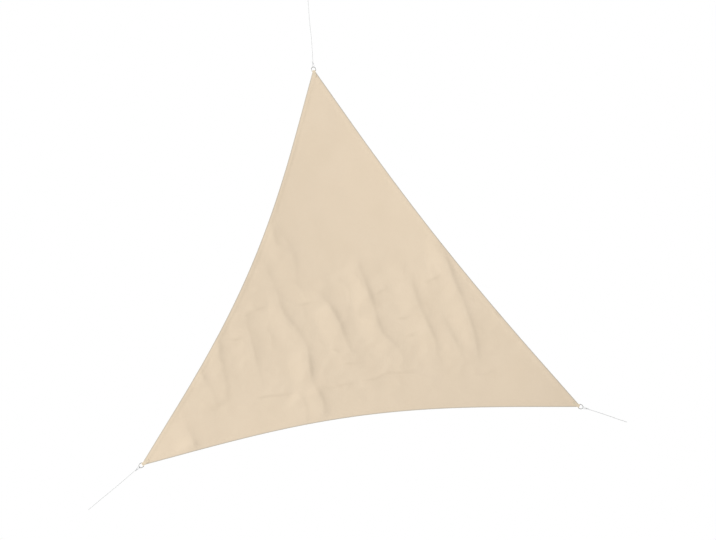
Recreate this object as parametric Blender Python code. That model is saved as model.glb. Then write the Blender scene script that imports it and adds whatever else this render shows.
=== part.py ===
"""A three-cornered shade sail, drawn tight by a rope at each corner and hung by the top one.

The sail is drawn in its own plane: +X runs along its low side from the left corner to the right
one, +Y runs up the slope to the top corner, and +Z looks at the sky. An empty then tips that
plane to the slope at which the sail hangs. The origin is the top of the rope loop that holds it
up. Sizes are in metres.
"""

import math
from collections import namedtuple

import bpy
import numpy as np
from mathutils import Euler, Vector
from mathutils.geometry import delaunay_2d_cdt

Edge = namedtuple("Edge", "start end bow gather")
Fold = namedtuple("Fold", "x y end_x end_y bow height")

GAP = 0.0003  # left between pieces that touch

# The sail is a triangle of three equal sides, measured between the centres of its corner rings.
SIDE = 3.600
HEIGHT = SIDE * math.sqrt(3) / 2
CORNERS = {
    "top": (0.0, HEIGHT),
    "left": (-SIDE / 2, 0.0),
    "right": (SIDE / 2, 0.0),
}

# How it hangs: its plane slopes up to the top corner, its right corner is the higher of the two
# low ones, and it has swung a little to the left.
SLOPE = math.radians(30.3)
RISE = math.radians(2.5)
HEADING = math.radians(7.4)

# The edges, anticlockwise. Each curves inward by bow at its middle, and gather is the share of
# that curve that is drawn in near the middle instead of evenly.
EDGES = (
    Edge("top", "left", bow=0.174, gather=0.31),
    Edge("left", "right", bow=0.166, gather=0.33),
    Edge("right", "top", bow=0.061, gather=0.21),
)

# The cloth. Its edges are turned under as a hem, and the sheet is thicker there.
CLOTH_THICK = 0.0016
HEM_THICK = 0.0030
HEM_WIDTH = 0.035
HEM_STEP = 0.002  # over which the thickness changes
TIP_CUT = 0.033  # from a ring's centre to the blunt end of the cloth
EDGE_SAG = 0.022
BELLY = 0.050
FLAT_CORNER = 0.120  # the cloth doesn't leave its plane this near a corner
SAG_SPREAD = 0.700

# Folds left from packing. The cloth rises gently on the left of each crest, drops on its right
# and comes back up from the hollow there. A crest runs down the sail and bends sideways by bow.
FOLDS = (
    Fold(x=-0.22, y=1.24, end_x=0.14, end_y=0.59, bow=0.042, height=0.0070),
    Fold(x=0.16, y=1.45, end_x=0.35, end_y=0.72, bow=-0.021, height=0.0080),
    Fold(x=0.57, y=1.36, end_x=0.74, end_y=0.54, bow=-0.010, height=0.0070),
    Fold(x=0.91, y=1.38, end_x=1.03, end_y=0.49, bow=0.047, height=0.0070),
    Fold(x=0.81, y=0.92, end_x=0.93, end_y=0.55, bow=-0.013, height=0.0030),
    Fold(x=-0.60, y=1.49, end_x=-0.35, end_y=0.53, bow=0.082, height=0.0060),
    Fold(x=-0.35, y=0.53, end_x=-0.25, end_y=0.22, bow=0.005, height=0.0070),
    Fold(x=-0.82, y=1.18, end_x=-0.76, end_y=0.60, bow=0.015, height=0.0055),
    Fold(x=-1.09, y=0.93, end_x=-1.04, end_y=0.45, bow=0.020, height=0.0055),
    Fold(x=-1.40, y=0.36, end_x=-1.34, end_y=0.07, bow=0.001, height=0.0050),
    Fold(x=-0.54, y=1.79, end_x=-0.37, end_y=1.40, bow=0.033, height=0.0050),
)
FOLD_RISE = 0.100
FOLD_DROP = 0.028
FOLD_TAIL = 0.130  # from the crest to where the hollow has ended
HOLLOW = 0.35  # depth of the hollow, as a share of the crest's height
FOLD_END = 0.30  # the share of a fold's length over which it fades at each end

# How close the points of the cloth's mesh lie.
OUTLINE_STEP = 0.110
FOLD_STEP = 0.070
GRID_STEP = 0.100
FOLD_ROWS = (-FOLD_RISE, -FOLD_RISE / 2, 0.0, FOLD_DROP, FOLD_TAIL / 2, FOLD_TAIL)
CLEAR_OF_FOLD = 0.050
CLEAR_OF_HEM = 0.020
ONLY_INSIDE = 1  # the triangulation keeps what is inside the outline
MERGE = 1e-6

# The corner fittings. Straps and rings are drawn in a frame whose +X halves the corner of the
# cloth and points out of it, and ropes in one whose +X is the way the rope pulls. The ring's
# centre is the origin of both, and +Z is the sail's.
PULL_ANGLE = {
    "top": math.radians(87.1),
    "left": math.radians(-147.2),
    "right": math.radians(-25.9),
}

# Shares of an edge's length: how far from a corner its direction is taken, and how far from it
# the cut and the hem are looked for, in how many steps.
TIP_SHARE = 0.02
LONGEST_TIP = 0.05
TIP_STEPS = 2001
WIRE_RADIUS = 0.0025
RING_HALF_WIDTH = 0.0175  # to the wire's centre line, as are the next three
RING_BAR = -0.017
RING_BOW = 0.016
RING_CORNER = 0.0035
RING_CORNER_STEPS = 4
RING_BOW_STEPS = 14
STRAP_WIDTH = 0.028
STRAP_THICK = 0.0015
STRAP_END = -0.078
STRAP_NECK = -0.027
STRAP_WRAP = 95  # degrees either way round the bar
STRAP_STEPS = 8
ROPE_RADIUS = 0.0025
KNOT_START = 0.037
KNOT_LENGTH = 0.020
KNOT_TURNS = 3
KNOT_RADIUS = 0.0069
KNOT_GROOVE = 0.0013
KNOT_MOUTH = 0.0054  # the radius of its two ends
KNOT_LEAN = 0.0008
KNOT_SIDES = 12
KNOT_STEPS = 12
HANGING_KNOT_START = 0.636
LOOP_END = 0.720

# The rope's bight round a ring's bow: x, y, z of its centre line, from the knot and back to it.
BIGHT = (
    (0.0400, -0.0027, 0.0004),
    (0.0345, -0.0060, 0.0012),
    (0.0280, -0.0075, 0.0030),
    (0.0215, -0.0055, 0.0051),
    (0.0160, -0.0028, 0.0060),
    (0.0112, -0.0010, 0.0040),
    (0.0095, 0.0000, 0.0000),
    (0.0112, 0.0010, -0.0040),
    (0.0160, 0.0028, -0.0060),
    (0.0215, 0.0055, -0.0051),
    (0.0280, 0.0075, -0.0030),
    (0.0345, 0.0060, -0.0012),
    (0.0400, 0.0027, -0.0004),
)
LOOP_STEP = 0.0045  # how close the points of this loop and the next lie

# The loop at the top rope's upper end.
HANGING_LOOP = (
    (0.6520, 0.0027, 0.0),
    (0.6620, 0.0065, 0.0),
    (0.6800, 0.0118, 0.0),
    (0.7000, 0.0133, 0.0),
    (0.7130, 0.0090, 0.0),
    (LOOP_END - ROPE_RADIUS, 0.0, 0.0),
    (0.7130, -0.0090, 0.0),
    (0.7000, -0.0133, 0.0),
    (0.6800, -0.0118, 0.0),
    (0.6620, -0.0065, 0.0),
    (0.6520, -0.0027, 0.0),
)

# Where each rope runs, from its knot outwards.
ROPE_START = KNOT_START + KNOT_LENGTH + GAP
ROPES = {
    "top": (
        (ROPE_START, 0.0000, 0.0000),
        (0.100, 0.0000, 0.0000),
        (0.180, -0.0020, 0.0000),
        (0.270, -0.0030, -0.0005),
        (0.360, 0.0000, -0.0010),
        (0.450, 0.0015, -0.0008),
        (0.540, 0.0005, -0.0004),
        (0.595, 0.0000, 0.0000),
        (HANGING_KNOT_START - GAP, 0.0000, 0.0000),
    ),
    "left": (
        (ROPE_START, 0.0000, 0.0000),
        (0.100, 0.0000, 0.0000),
        (0.200, 0.0010, -0.0006),
        (0.300, 0.0012, -0.0012),
        (0.400, 0.0004, -0.0010),
        (0.470, -0.0004, -0.0005),
        (0.538, 0.0000, 0.0000),
    ),
    "right": (
        (ROPE_START, 0.0000, 0.0000),
        (0.100, 0.0004, 0.0000),
        (0.180, 0.0018, -0.0006),
        (0.260, 0.0010, -0.0010),
        (0.330, -0.0008, -0.0006),
        (0.394, 0.0000, 0.0000),
    ),
}
ROPE_STEP = 0.0145
CURVE_STEPS = 40  # between two of a route's points, before the curve is cut into even steps


def clear_scene():
    for thing in list(bpy.data.objects):
        bpy.data.objects.remove(thing)


def material(name, colour, roughness, metallic=0.0):
    made = bpy.data.materials.new(name)
    made.use_nodes = True
    shader = made.node_tree.nodes["Principled BSDF"]
    shader.inputs["Base Color"].default_value = (*colour, 1.0)
    shader.inputs["Roughness"].default_value = roughness
    shader.inputs["Metallic"].default_value = metallic
    made.diffuse_color = (*colour, 1.0)
    return made


def direction(angle):
    return np.array((math.cos(angle), math.sin(angle)))


def place(name, data, parent):
    """An object of this data, drawn in its parent's frame."""
    made = bpy.data.objects.new(name, data)
    bpy.context.scene.collection.objects.link(made)
    made.parent = parent
    return made


def sail_plane():
    """The empty that carries the sail's plane, set so that the origin is the top of the loop."""
    plane = place("sail_plane", None, None)
    plane.rotation_euler = (SLOPE, -RISE, HEADING)
    hung_from = np.array(CORNERS["top"]) + direction(PULL_ANGLE["top"]) * LOOP_END
    plane.location = -(Euler(plane.rotation_euler).to_matrix() @ Vector((*hung_from, 0)))
    return plane


def corner_frame(name, corner, angle, plane):
    frame = place(name, None, plane)
    frame.location = (*CORNERS[corner], 0)
    frame.rotation_euler = (0, 0, angle)
    return frame


# The cloth


def smooth_step(share):
    share = np.clip(share, 0, 1)
    return share * share * (3 - 2 * share)


def edge_line(edge):
    """Where the straight line between an edge's corners starts, its direction and the inward one."""
    start, end = np.array(CORNERS[edge.start]), np.array(CORNERS[edge.end])
    along = (end - start) / SIDE
    return start, along, np.array((-along[1], along[0]))


def inward_curve(edge, share):
    """How far inside that straight line the edge lies, at a share of its length."""
    even = 4 * share * (1 - share)
    return edge.bow * ((1 - edge.gather) * even + edge.gather * even**2)


def edge_point(edge, share, inset=0.0):
    start, along, inward = edge_line(edge)
    return start + along * SIDE * share + inward * (inward_curve(edge, share) + inset)


def depth_from(edge, points):
    """How far inside one edge points lie."""
    start, along, inward = edge_line(edge)
    offset = np.asarray(points) - start
    return offset @ inward - inward_curve(edge, offset @ along / SIDE)


def depth_inside(points):
    """How far inside the nearest edge points lie."""
    return np.min([depth_from(edge, points) for edge in EDGES], axis=0)


def tip_angle(corner):
    """The angle of the line that halves a corner of the cloth and points out of it."""
    from_corner = [edge_point(edge, TIP_SHARE) for edge in EDGES if edge.start == corner]
    from_corner += [edge_point(edge, 1 - TIP_SHARE) for edge in EDGES if edge.end == corner]
    out = np.array(CORNERS[corner]) - np.mean(from_corner, axis=0)
    return math.atan2(out[1], out[0])


def before_tip(corner, point):
    """Whether a point lies on the cloth's side of the cut across its corner."""
    return (point - np.array(CORNERS[corner])) @ direction(tip_angle(corner)) <= -TIP_CUT


def shares_between(starts, ends):
    """Even shares of an edge, from the first that passes one test to the last to pass the other."""
    near_corner = np.linspace(0, LONGEST_TIP, TIP_STEPS)
    low = next(share for share in near_corner if starts(share))
    high = next(1 - share for share in near_corner if ends(1 - share))
    return np.linspace(low, high, round((high - low) * SIDE / OUTLINE_STEP) + 1)


def outline():
    """The cut outline of the cloth, anticlockwise, blunt at its corners."""
    points = []
    for edge in EDGES:
        shares = shares_between(
            lambda share: before_tip(edge.start, edge_point(edge, share)),
            lambda share: before_tip(edge.end, edge_point(edge, share)),
        )
        points += [edge_point(edge, share) for share in shares]
    return points


def line_inside(inset):
    """The line that runs inside the whole outline at one distance from it."""
    points = []
    for number, edge in enumerate(EDGES):
        last, following = EDGES[number - 1], EDGES[(number + 1) % len(EDGES)]
        shares = shares_between(
            lambda share: depth_from(last, edge_point(edge, share, inset)) >= inset,
            lambda share: depth_from(following, edge_point(edge, share, inset)) >= inset,
        )
        points += [edge_point(edge, share, inset) for share in shares[:-1]]
    return points


def fold_line(fold):
    """A fold's start and length, the direction of its chord and the one to its right."""
    start = np.array((fold.x, fold.y))
    along = np.array((fold.end_x, fold.end_y)) - start
    length = np.linalg.norm(along)
    along = along / length
    return start, length, along, np.array((-along[1], along[0]))


def fold_points(fold):
    """Points on a fold's crest and beside it."""
    start, length, along, right = fold_line(fold)
    points = []
    for share in np.linspace(0, 1, round(length / FOLD_STEP) + 1):
        crest = start + along * length * share + right * fold.bow * 4 * share * (1 - share)
        points += [crest + right * row for row in FOLD_ROWS]
    return points


def fold_height(fold, points):
    """How far a fold lifts points of the cloth."""
    start, length, along, right = fold_line(fold)
    offset = points - start
    share = offset @ along / length
    side = offset @ right - fold.bow * 4 * share * (1 - share)
    rise = smooth_step(1 + side / FOLD_RISE)
    drop = 1 - (1 + HOLLOW) * smooth_step(side / FOLD_DROP)
    hollow = -HOLLOW * smooth_step((FOLD_TAIL - side) / (FOLD_TAIL - FOLD_DROP))
    across = np.where(side < 0, rise, np.where(side < FOLD_DROP, drop, hollow))
    ends = smooth_step(share / FOLD_END) * smooth_step((1 - share) / FOLD_END)
    return fold.height * ends * across


def sheet_height(points):
    """How far the middle of the cloth lies from the sail's plane."""
    points = np.asarray(points)
    top = points[:, 1] / HEIGHT
    right = (points[:, 0] / SIDE) + (1 - top) / 2
    left = 1 - top - right
    sag = EDGE_SAG * 3 * (top * left + left * right + right * top)
    sag = sag + BELLY * 27 * top * left * right
    folds = sum(fold_height(fold, points) for fold in FOLDS)
    folds = folds * smooth_step(depth_inside(points) / HEM_WIDTH)
    free = np.ones(len(points))
    for corner in CORNERS.values():
        away = np.linalg.norm(points - np.array(corner), axis=1)
        free *= smooth_step((away - FLAT_CORNER) / SAG_SPREAD)
    return free * (folds - sag)


def grid_points(taken):
    """An even grid of triangles that keeps clear of the hem and of points already taken."""
    row_step = GRID_STEP * math.sqrt(3) / 2
    points = []
    for row in range(1, int(HEIGHT / row_step)):
        first = -SIDE / 2 + GRID_STEP / 2 * (row % 2)
        points += [(x, row * row_step) for x in np.arange(first, SIDE / 2, GRID_STEP)]
    points = np.array(points)
    points = points[depth_inside(points) > HEM_WIDTH + GRID_STEP / 2]
    away = np.linalg.norm(points[:, None] - taken[None], axis=2).min(axis=1)
    return points[away > CLEAR_OF_FOLD]


def cloth_mesh():
    """The sheet: one skin each side of its middle, joined round the rim."""
    rim = outline()
    folds = np.array([point for fold in FOLDS for point in fold_points(fold)])
    folds = folds[depth_inside(folds) > HEM_WIDTH + CLEAR_OF_HEM]
    points = list(rim)
    lines = []
    for inset in (HEM_WIDTH, HEM_WIDTH + HEM_STEP):
        line = line_inside(inset)
        ids = [len(points) + number for number in range(len(line))]
        lines += list(zip(ids, ids[1:] + ids[:1]))
        points += line
    points += [*folds, *grid_points(folds)]
    corners = [Vector(point) for point in points]
    flat, _, faces, *_ = delaunay_2d_cdt(corners, lines, [range(len(rim))], ONLY_INSIDE, MERGE)
    flat = np.array(flat)
    hemmed = depth_inside(flat) < HEM_WIDTH + HEM_STEP / 2
    half = np.where(hemmed, HEM_THICK, CLOTH_THICK) / 2
    middle = sheet_height(flat)
    skins = [*np.column_stack([flat, middle + half]), *np.column_stack([flat, middle - half])]
    below = len(flat)
    shell = [tuple(face) for face in faces]
    shell += [tuple(corner + below for corner in reversed(face)) for face in faces]
    sides = {(face[i - 1], face[i]) for face in faces for i in range(3)}
    rim_sides = [(a, b) for a, b in sorted(sides) if (b, a) not in sides]
    shell += [(b, a, a + below, b + below) for a, b in rim_sides]
    made = bpy.data.meshes.new("sail_cloth")
    made.from_pydata([tuple(point) for point in skins], [], shell)
    made.shade_smooth()
    made.set_sharp_from_angle(angle=math.radians(30))
    return made


# The corner fittings


def arc(centre, radius, start, end, steps):
    """Points of an arc in the plane, its angles in degrees."""
    angles = np.radians(np.linspace(start, end, steps + 1))
    return [
        (centre[0] + radius * math.cos(angle), centre[1] + radius * math.sin(angle))
        for angle in angles
    ]


def evenly(route, step):
    """A smooth curve through the points of a route, as points about a step apart."""
    ends = [2 * np.array(route[0]) - route[1], 2 * np.array(route[-1]) - route[-2]]
    knots = np.array([ends[0], *route, ends[1]])
    share = np.linspace(0, 1, CURVE_STEPS)[:, None]
    curve = [knots[1][None]]
    for a, b, c, d in zip(knots, knots[1:], knots[2:], knots[3:]):
        bend = (2 * a - 5 * b + 4 * c - d) * share**2 + (3 * b - a - 3 * c + d) * share**3
        curve.append((b + ((c - a) * share + bend) / 2)[1:])
    curve = np.concatenate(curve)
    run = np.concatenate([[0], np.cumsum(np.linalg.norm(np.diff(curve, axis=0), axis=1))])
    at = np.linspace(0, run[-1], round(run[-1] / step) + 1)
    return np.column_stack([np.interp(at, run, column) for column in curve.T])


def tube(name, points, radius, parent, closed=False):
    """A round bar or rope along points: a curve with a bevel of eight sides."""
    curve = bpy.data.curves.new(name, "CURVE")
    curve.dimensions = "3D"
    curve.bevel_depth = radius
    curve.bevel_resolution = 2
    curve.use_fill_caps = True
    spline = curve.splines.new("POLY")
    spline.points.add(len(points) - 1)
    for spot, point in zip(spline.points, points):
        spot.co = (*point, 1)
    spline.use_cyclic_u = closed
    spline.use_smooth = True
    return place(name, curve, parent)


def ring(name, tip):
    """A D-ring: a straight bar, two tight corners and a round bow."""
    side = RING_HALF_WIDTH - RING_CORNER
    turn = RING_BAR + RING_CORNER
    bow_centre = (RING_BOW - RING_HALF_WIDTH, 0)
    path = arc((turn, -side), RING_CORNER, 180, 270, RING_CORNER_STEPS)
    path += arc(bow_centre, RING_HALF_WIDTH, -90, 90, RING_BOW_STEPS)
    path += arc((turn, side), RING_CORNER, 90, 180, RING_CORNER_STEPS)
    return tube(name, [(x, y, 0) for x, y in path], WIRE_RADIUS, tip, closed=True)


def strap_line(off):
    """The strap's run past the cloth and round the ring's bar, this far off them both."""
    leg = HEM_THICK / 2 + off
    wrap = arc((RING_BAR, 0), WIRE_RADIUS + off, STRAP_WRAP, -STRAP_WRAP, STRAP_STEPS)
    return [(STRAP_END, leg), (STRAP_NECK, leg), *wrap, (STRAP_NECK, -leg), (STRAP_END, -leg)]


def strap(name, tip):
    """Flat webbing: over the tip of the cloth, round the ring's bar and back under the cloth."""
    half = STRAP_WIDTH / 2
    points = []
    for (x, z), (x_out, z_out) in zip(strap_line(GAP), strap_line(GAP + STRAP_THICK)):
        points += [(x, half, z), (x, -half, z), (x_out, -half, z_out), (x_out, half, z_out)]
    last = len(points) - 4
    faces = [(0, 1, 2, 3), (last + 3, last + 2, last + 1, last)]
    for first in range(0, last, 4):
        for side in range(4):
            here, beside = first + side, first + (side + 1) % 4
            faces.append((beside, here, here + 4, beside + 4))
    made = bpy.data.meshes.new(name)
    made.from_pydata(points, [], faces)
    made.shade_smooth()
    made.set_sharp_from_angle(angle=math.radians(40))
    return place(name, made, tip)


def knot_mesh(name, start):
    """A wrapped knot: a barrel with a ridge for each turn of rope, its ridges leaning a little."""
    shares = np.linspace(0, 1, KNOT_STEPS + 1)
    ridge = np.abs(np.sin(np.pi * KNOT_TURNS * shares))
    radii = KNOT_RADIUS - KNOT_GROOVE * (1 - ridge)
    radii[[0, -1]] = KNOT_MOUTH
    lean = KNOT_LEAN * np.sin(np.pi * shares)
    angles = np.linspace(0, 2 * np.pi, KNOT_SIDES, endpoint=False)
    points = []
    for share, radius, tip in zip(shares, radii, lean):
        for angle in angles:
            x = start + KNOT_LENGTH * share + tip * math.cos(angle)
            points.append((x, radius * math.cos(angle), radius * math.sin(angle)))
    last = len(points) - KNOT_SIDES
    faces = [tuple(reversed(range(KNOT_SIDES))), tuple(range(last, last + KNOT_SIDES))]
    for first in range(0, last, KNOT_SIDES):
        for side in range(KNOT_SIDES):
            here, beside = first + side, first + (side + 1) % KNOT_SIDES
            faces.append((here, beside, beside + KNOT_SIDES, here + KNOT_SIDES))
    made = bpy.data.meshes.new(name)
    made.from_pydata(points, [], faces)
    made.shade_smooth()
    return made


def knotted_loop(name, pull, knot_start, route):
    """A knot and the loop of rope that leaves it and comes back, as one solid."""
    strand = tube(f"{name}_strand", evenly(route, LOOP_STEP), ROPE_RADIUS, pull)
    guide = place(f"{name}_guide", bpy.data.meshes.new_from_object(strand), pull)
    bpy.data.objects.remove(strand)
    guide.hide_render = True
    guide.display_type = "WIRE"
    made = place(name, knot_mesh(name, knot_start), pull)
    union = made.modifiers.new("loop", "BOOLEAN")
    union.operation = "UNION"
    union.object = guide
    return made


def main():
    clear_scene()
    canvas = material("sand canvas", (0.775, 0.645, 0.491), roughness=0.85)
    webbing = material("sand webbing", (0.74, 0.62, 0.47), roughness=0.80)
    steel = material("stainless steel", (0.62, 0.62, 0.62), roughness=0.25, metallic=1.0)
    cord = material("pale cord", (0.78, 0.78, 0.76), roughness=0.75)
    plane = sail_plane()
    place("sail_cloth", cloth_mesh(), plane).data.materials.append(canvas)
    for name in CORNERS:
        tip = corner_frame(f"{name}_tip", name, tip_angle(name), plane)
        strap(f"strap_{name}", tip).data.materials.append(webbing)
        ring(f"ring_{name}", tip).data.materials.append(steel)
        pull = corner_frame(f"{name}_pull", name, PULL_ANGLE[name], plane)
        tie = knotted_loop(f"tie_{name}", pull, KNOT_START, BIGHT)
        tie.data.materials.append(cord)
        rope = tube(f"rope_{name}", evenly(ROPES[name], ROPE_STEP), ROPE_RADIUS, pull)
        rope.data.materials.append(cord)
        if name == "top":
            loop = knotted_loop("loop_top", pull, HANGING_KNOT_START, HANGING_LOOP)
            loop.data.materials.append(cord)


main()
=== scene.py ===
# %% [markdown]
# # A shade sail
#
# A shade sail is one large three-cornered sheet of cloth, pulled tight between fixed points to
# keep the sun off. Each corner has a D-ring on a webbing strap, and a thin rope tied to the ring.
#
# A solid model of it is there already, and it settles where everything goes. This lesson dresses
# that model: finer cloth with its packing folds, sewing, webbing, steel and rope. The model is
# loaded first, because every piece has to fit inside it.

# %% Load the solid model
import math
from collections import namedtuple

import bpy
import numpy as np
from mathutils import Euler, Matrix, Vector, noise
from mathutils.geometry import delaunay_2d_cdt


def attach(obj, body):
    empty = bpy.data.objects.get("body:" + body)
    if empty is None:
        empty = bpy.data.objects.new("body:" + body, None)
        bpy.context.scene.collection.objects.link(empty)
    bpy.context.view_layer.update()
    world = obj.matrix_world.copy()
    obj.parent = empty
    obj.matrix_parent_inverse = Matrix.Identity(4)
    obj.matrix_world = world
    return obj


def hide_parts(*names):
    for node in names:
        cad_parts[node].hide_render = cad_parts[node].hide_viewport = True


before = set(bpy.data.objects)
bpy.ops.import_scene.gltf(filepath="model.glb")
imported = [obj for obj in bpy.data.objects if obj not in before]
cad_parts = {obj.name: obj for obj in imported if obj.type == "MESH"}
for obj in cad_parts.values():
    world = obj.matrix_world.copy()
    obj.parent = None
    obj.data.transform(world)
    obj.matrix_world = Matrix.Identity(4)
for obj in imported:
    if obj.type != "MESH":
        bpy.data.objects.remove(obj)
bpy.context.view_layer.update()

# %% [markdown]
# ## The plane that the sail hangs in
#
# The real sail is cut flat and hangs at a slope. It is easiest to think of every piece in the
# sail's own plane: +X along the low side, +Y up the slope to the top corner, +Z at the sky. One
# matrix then tips the lot. The other way, working out each point in the room, hides the simple
# shapes behind the slope. The same values place the solid model.

# %% Corners, slope and where the plane lies
GAP = 0.0003
SIDE = 3.600
HEIGHT = SIDE * math.sqrt(3) / 2
CORNERS = {"top": (0.0, HEIGHT), "left": (-SIDE / 2, 0.0), "right": (SIDE / 2, 0.0)}
SLOPE, RISE, HEADING = math.radians(30.3), math.radians(2.5), math.radians(7.4)
PULL_ANGLE = {
    "top": math.radians(87.1),
    "left": math.radians(-147.2),
    "right": math.radians(-25.9),
}
LOOP_END = 0.720  # from the top ring's centre to the top of the loop that the sail hangs by


def direction(angle):
    return np.array((math.cos(angle), math.sin(angle)))


turn = Euler((SLOPE, -RISE, HEADING)).to_matrix()
hung_from = np.array(CORNERS["top"]) + direction(PULL_ANGLE["top"]) * LOOP_END
PLANE = Matrix.Translation(-(turn @ Vector((*hung_from, 0)))) @ turn.to_4x4()
print("sail plane at", [round(value, 3) for value in PLANE.translation])


def in_room(points, frame_matrix):
    """Points of a frame, moved to where they are in the room."""
    matrix = np.array(frame_matrix)
    return np.asarray(points, float) @ matrix[:3, :3].T + matrix[:3, 3]


def corner_frame(corner, angle):
    """A frame at a ring's centre whose +X points out of the sail at an angle."""
    return PLANE @ Matrix.Translation((*CORNERS[corner], 0)) @ Matrix.Rotation(angle, 4, "Z")


# %% [markdown]
# ## The camera
#
# A long lens from well back keeps the sail's sides from spreading, as in a catalogue picture.
# The camera looks down at half a right angle and a little more, straight across the low side.

# %% Camera
LENS, SENSOR = 70, 36  # millimetres
LOOKS_DOWN = math.radians(50)
CAMERA_FROM_PLANE = Vector((-0.0375, -6.2195, 9.5053))

camera = bpy.data.objects.new("camera", bpy.data.cameras.new("camera"))
bpy.context.scene.collection.objects.link(camera)
camera.data.lens = LENS
camera.data.sensor_width = SENSOR
camera.location = PLANE.translation + CAMERA_FROM_PLANE
camera.rotation_euler = (math.pi / 2 - LOOKS_DOWN, 0, 0)
bpy.context.scene.camera = camera
across = SENSOR / LENS * (camera.location - PLANE.translation).length
print("the picture is about", round(across, 2), "m across at the sail")

# %% [markdown]
# ## Helpers for materials
#
# Every finish below is made of nodes, so it has no picture files and holds at any distance.
# Colours are written as the hex numbers that a paint chart or a screen gives. A screen's numbers
# are not proportional to light, so one function turns them into light. Another adds one node.


# %% Colours and nodes
def light_of(hex_colour):
    """The light that a hex colour stands for, as red, green, blue and 1."""
    shares = [int(hex_colour[start : start + 2], 16) / 255 for start in (1, 3, 5)]
    low_end, high_end = 12.92, 1.055
    light = [
        share / low_end if share <= 0.04045 else ((share + high_end - 1) / high_end) ** 2.4
        for share in shares
    ]
    return (*light, 1.0)


def add(tree, kind, settings=(), **sockets):
    """One node. Its sockets are given by name, each as a value or as another node's output."""
    node = tree.nodes.new(f"ShaderNode{kind}")
    for name, value in dict(settings).items():
        setattr(node, name, value)
    for name, value in sockets.items():
        number = name.rsplit("_", 1)[-1]
        key = int(number) if number.isdigit() else name.replace("_", " ")
        if isinstance(value, bpy.types.NodeSocket):
            tree.links.new(value, node.inputs[key])
        else:
            node.inputs[key].default_value = value
    return node


# The settings of the nodes that come again and again.
COLOURS = {"data_type": "RGBA"}
TIMES, PLUS, TIMES_PLUS, WAVE = (
    {"operation": name} for name in ("MULTIPLY", "ADD", "MULTIPLY_ADD", "SINE")
)


def new_material(name, **sockets):
    """A material with one shader, and the tree that its nodes are added to."""
    made = bpy.data.materials.new(name)
    made.use_nodes = True
    shader = made.node_tree.nodes["Principled BSDF"]
    for socket, value in sockets.items():
        shader.inputs[socket.replace("_", " ")].default_value = value
    return made, made.node_tree, shader


print("sand in light:", [round(value, 3) for value in light_of("#E4D2BA")])

# %% [markdown]
# ## Helpers for pieces
#
# Most pieces here are one thing bent along a line: rope, wire and thread. Each point of the line
# gets two directions square to it, and the section's points are laid out on those. The two turn
# as little as they can from point to point, or else a rope would show a twist that it doesn't
# have.


# %% New pieces
def new_piece(name, points, faces, material, sharp=40):
    """A piece of these points, which rides on the sail's one body."""
    mesh = bpy.data.meshes.new(name)
    mesh.from_pydata(np.asarray(points).tolist(), [], faces)
    mesh.materials.append(material)
    mesh.shade_smooth()
    mesh.set_sharp_from_angle(angle=math.radians(sharp))
    piece = bpy.data.objects.new(name, mesh)
    bpy.context.scene.collection.objects.link(piece)
    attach(piece, "root")
    return piece


def lay_map(piece, name, corners):
    """A flat map of the piece, one pair of numbers for each corner of each face."""
    layer = piece.data.uv_layers.new(name=name)
    layer.data.foreach_set("uv", np.asarray(corners, np.float32).ravel())


# %% Lines and what is laid along them
CURVE_STEPS = 40


def run_along(points):
    """How far along a line each of its points is."""
    return np.concatenate([[0], np.cumsum(np.linalg.norm(np.diff(points, axis=0), axis=1))])


def evenly(route, step):
    """A smooth curve through the points of a route, as points about a step apart."""
    route = np.asarray(route, float)
    knots = np.array([2 * route[0] - route[1], *route, 2 * route[-1] - route[-2]])
    share = np.linspace(0, 1, CURVE_STEPS)[:, None]
    curve = [knots[1][None]]
    for a, b, c, d in zip(knots, knots[1:], knots[2:], knots[3:]):
        bend = (2 * a - 5 * b + 4 * c - d) * share**2 + (3 * b - a - 3 * c + d) * share**3
        curve.append((b + ((c - a) * share + bend) / 2)[1:])
    curve = np.concatenate(curve)
    run = run_along(curve)
    at = np.linspace(0, run[-1], round(run[-1] / step) + 1)
    return np.column_stack([np.interp(at, run, column) for column in curve.T])


def square_to(points, first, closed=False):
    """For each point of a line, two directions square to it. The first starts out as given."""
    ahead, behind = np.roll(points, -1, axis=0), np.roll(points, 1, axis=0)
    if not closed:
        ahead[-1], behind[0] = points[-1], points[0]
    along = ahead - behind
    along /= np.linalg.norm(along, axis=1)[:, None]
    side, sides = np.array(first, float), []
    for tangent in along:
        side = side - tangent * (side @ tangent)
        side /= np.linalg.norm(side)
        sides.append(side)
    sides = np.array(sides)
    return sides, np.cross(along, sides)


def skin(rings, sides, closed=False):
    """Faces over rings of points, and over the two ends where the line isn't closed."""
    faces = []
    for ring in range(rings if closed else rings - 1):
        here, ahead = ring * sides, (ring + 1) % rings * sides
        for side in range(sides):
            beside = (side + 1) % sides
            faces.append((here + side, here + beside, ahead + beside, ahead + side))
    if not closed:
        last = (rings - 1) * sides
        faces.append(tuple(reversed(range(sides))))
        faces.append(tuple(range(last, last + sides)))
    return faces


# %% [markdown]
# ## The ropes
#
# The ropes are braided polyester cord, 5 mm thick. Eight bundles of yarn run round it, four each
# way, and pass over and under each other. The braid could be eight bent tubes, but that takes
# far more faces and leaves gaps. Here it is one tube whose skin stands out where a bundle is on
# top, and dips where two meet. A map of each bundle lets the material draw the yarns in it.

# %% Braid values
# Metres, unless a comment says otherwise. So are the values of the other cells.
ROPE_RADIUS = 0.0025
BUNDLES = 4  # each way round
BUNDLE_PITCH = 0.0042  # along the rope, from one bundle to the next
BRAID_DEPTH = 0.00055
GOES_UNDER = 0.45  # how high a bundle still stands where it goes under another
ROPE_SIDES = 24
ROPE_STEP = 0.0008
# The end of a rope is melted so that it can't fray: how long, how far it shrinks and its tip.
SEALED, WAIST, TIP = 0.007, 0.10, 0.02
TIGHT_FROM = 0.006  # how far into its knot a rope is pulled tight


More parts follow.
